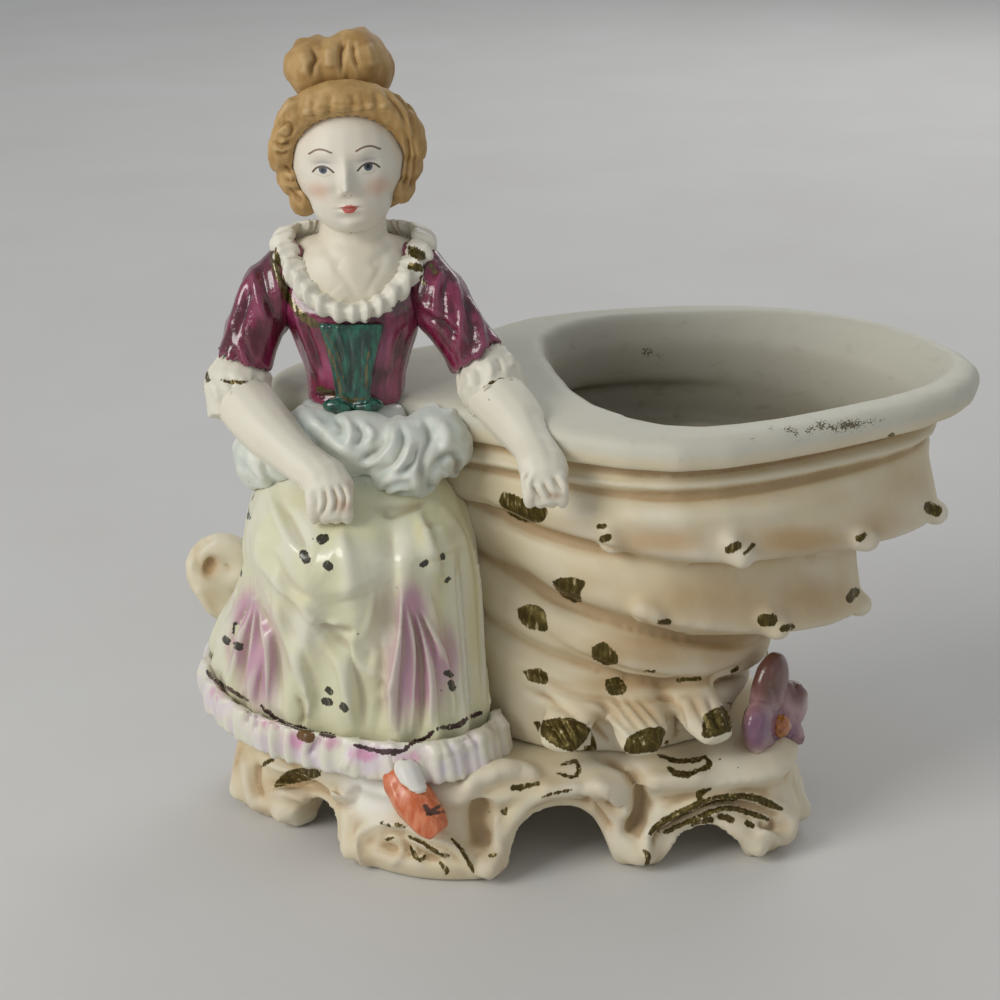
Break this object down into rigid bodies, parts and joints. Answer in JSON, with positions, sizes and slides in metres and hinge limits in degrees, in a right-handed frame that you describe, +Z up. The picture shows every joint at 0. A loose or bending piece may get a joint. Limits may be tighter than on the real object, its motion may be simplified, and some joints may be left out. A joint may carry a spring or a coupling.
{
  "type": "figural planter",
  "caption": "Bisque porcelain planter: a seated lady in a frilled gown beside a wide conch-shaped vase that holds a small plant, on a low hollow scroll base.",
  "frame": {"origin": "middle of the bounding box at the surface that the feet stand on", "axes": "+Z up, -Y towards the viewer and the figure's front, +X towards the shell's spout"},
  "size_m": [0.135, 0.0754, 0.1338],
  "materials": {
    "base_bisque": "unglazed bisque, airbrushed beige in the hollows",
    "shell_bisque": "unglazed bisque, airbrushed beige, grey-white shelf and inside",
    "skirt_glaze": "bisque with a thin pale yellow-green wash, slightly glossy",
    "lilac_glaze": "bisque with a thin lilac-pink wash",
    "pale_blue_bisque": "bisque with a faint blue tint",
    "crimson_glaze": "glossy overglaze enamel with brush streaks",
    "green_glaze": "glossy overglaze enamel",
    "skin_bisque": "smooth matt bisque with painted features",
    "white_bisque": "matt bisque",
    "hair_bisque": "matt painted bisque, ochre blonde",
    "coral_glaze": "satin enamel",
    "mauve_glaze": "glossy mauve enamel",
    "amber_glaze": "glossy amber enamel"
  },
  "bodies": {
    "root": {"scroll_base": "base_bisque", "shell_vase": "shell_bisque", "side_scroll": "base_bisque", "skirt": "skirt_glaze", "hem_flounce": "lilac_glaze", "overskirt": "pale_blue_bisque", "bodice": "crimson_glaze", "stomacher": "green_glaze", "bust": "skin_bisque", "collar_frill": "white_bisque", "head": "skin_bisque", "hair": "hair_bisque", "hair_roll": "hair_bisque", "right_sleeve": "crimson_glaze", "right_cuff": "white_bisque", "right_forearm": "skin_bisque", "left_sleeve": "crimson_glaze", "left_cuff": "white_bisque", "left_forearm": "skin_bisque", "shoe": "coral_glaze", "stocking": "white_bisque", "flower_petals": "mauve_glaze", "flower_centre": "amber_glaze"}
  },
  "joints": []
}
